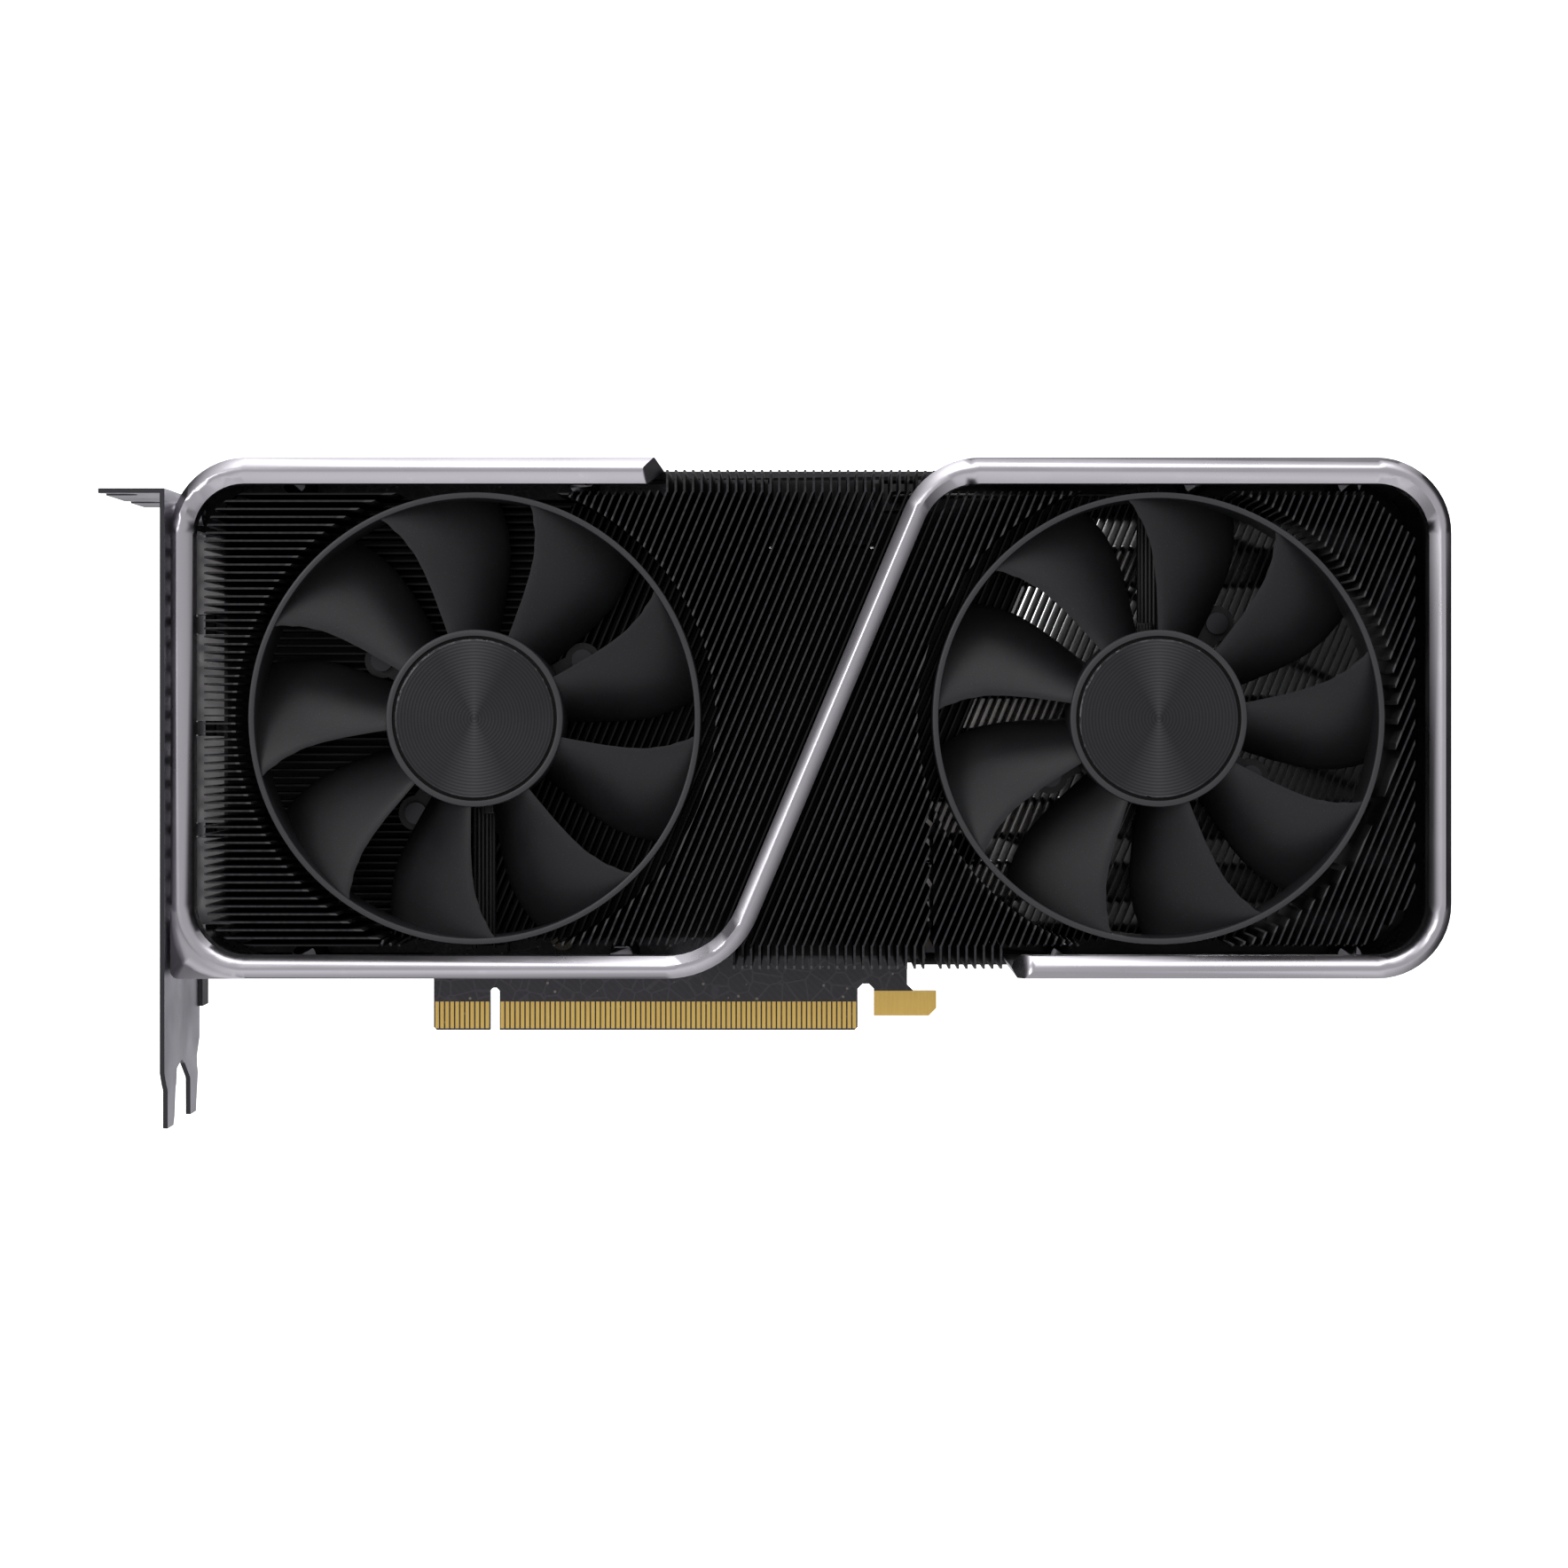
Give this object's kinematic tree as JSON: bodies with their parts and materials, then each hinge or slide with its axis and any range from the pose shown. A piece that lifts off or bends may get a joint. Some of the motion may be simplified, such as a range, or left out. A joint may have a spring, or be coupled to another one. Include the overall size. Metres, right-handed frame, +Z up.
{
  "type": "graphics card",
  "caption": "Two-slot desktop graphics card with an S-shaped metal frame round two axial fans, slanted black cooling fins, a slot bracket and a gold edge connector.",
  "frame": {"origin": "centre of the key notch of the edge connector, on the board's mid-plane and its bottom edge", "axes": "+X along the card away from the bracket, +Z up away from the slot, -Y towards the fans; upright as pictured"},
  "size_m": [0.2539, 0.04, 0.126],
  "materials": {
    "frame_metal": "satin bead-blasted, silver-lilac",
    "fin_metal": "matt black coated sheet",
    "cover_metal": "matt black powder coat",
    "bracket_steel": "plain plated sheet",
    "fan_plastic": "fine-grained charcoal",
    "hub_metal": "turned, dark",
    "board_mask": "black solder mask",
    "gold": "plated, bright",
    "plated_copper": "nickel plated, satin",
    "winding_copper": "enamelled",
    "screw_steel": "zinc plated",
    "standoff_brass": "turned",
    "socket_plastic": "moulded",
    "socket_steel": "plated",
    "pin_tin": "tin plated",
    "chip_resin": "moulded resin",
    "carrier_laminate": "laminate",
    "silicon": "polished",
    "thermal_pad": "soft pad",
    "ferrite": "pressed powder",
    "capacitor_can": "plain can",
    "magnet": "bonded magnet",
    "motor_steel": "laminated",
    "bearing_bronze": "sintered",
    "wire_jacket": "insulation"
  },
  "bodies": {
    "card": {"board_standoffs": "standoff_brass", "bracket_screws": "screw_steel", "capacitors": "capacitor_can", "centre_fins": "fin_metal", "circuit_board": "board_mask", "cold_plate": "plated_copper", "control_chips": "chip_resin", "cover_screws": "screw_steel", "edge_contacts_front": "gold", "edge_contacts_rear": "gold", "fan_sockets": "socket_plastic", "frame_screws": "screw_steel", "front_frame": "frame_metal", "heat_pipes": "plated_copper", "inductors": "ferrite", "left_bearing": "bearing_bronze", "left_fan_base": "fan_plastic", "left_fan_lead": "wire_jacket", "left_fan_screws": "screw_steel", "left_fins": "fin_metal", "left_motor_board": "board_mask", "left_motor_coils": "winding_copper", "left_motor_core": "motor_steel", "memory_chips": "chip_resin", "memory_pads": "thermal_pad", "mounting_bracket": "bracket_steel", "power_pads": "thermal_pad", "power_pins": "pin_tin", "power_socket": "socket_plastic", "power_stages": "chip_resin", "processor_carrier": "carrier_laminate", "processor_die": "silicon", "rear_cover": "cover_metal", "right_bearing": "bearing_bronze", "right_fan_base": "fan_plastic", "right_fan_lead": "wire_jacket", "right_fan_screws": "screw_steel", "right_fins": "fin_metal", "right_motor_board": "board_mask", "right_motor_coils": "winding_copper", "right_motor_core": "motor_steel", "spring_plate": "bracket_steel", "spring_screws": "screw_steel", "video_socket_shells": "socket_steel", "video_socket_tongues": "socket_plastic", "wide_socket_shell": "socket_steel", "wide_socket_tongue": "socket_plastic"},
    "left_fan": {"left_hub_cap": "hub_metal", "left_magnet_ring": "magnet", "left_rotor": "fan_plastic", "left_rotor_yoke": "motor_steel", "left_shaft": "screw_steel"},
    "right_fan": {"right_hub_cap": "hub_metal", "right_magnet_ring": "magnet", "right_rotor": "fan_plastic", "right_rotor_yoke": "motor_steel", "right_shaft": "screw_steel"}
  },
  "joints": [
    {"name": "left_fan_spin", "type": "hinge", "parent": "card", "child": "left_fan", "pos_m": [-0.0004, 0, 0.062], "axis": [0, -1, 0], "continuous": true},
    {"name": "right_fan_spin", "type": "hinge", "parent": "card", "child": "right_fan", "pos_m": [0.1283, 0, 0.062], "axis": [0, -1, 0], "continuous": true}
  ]
}
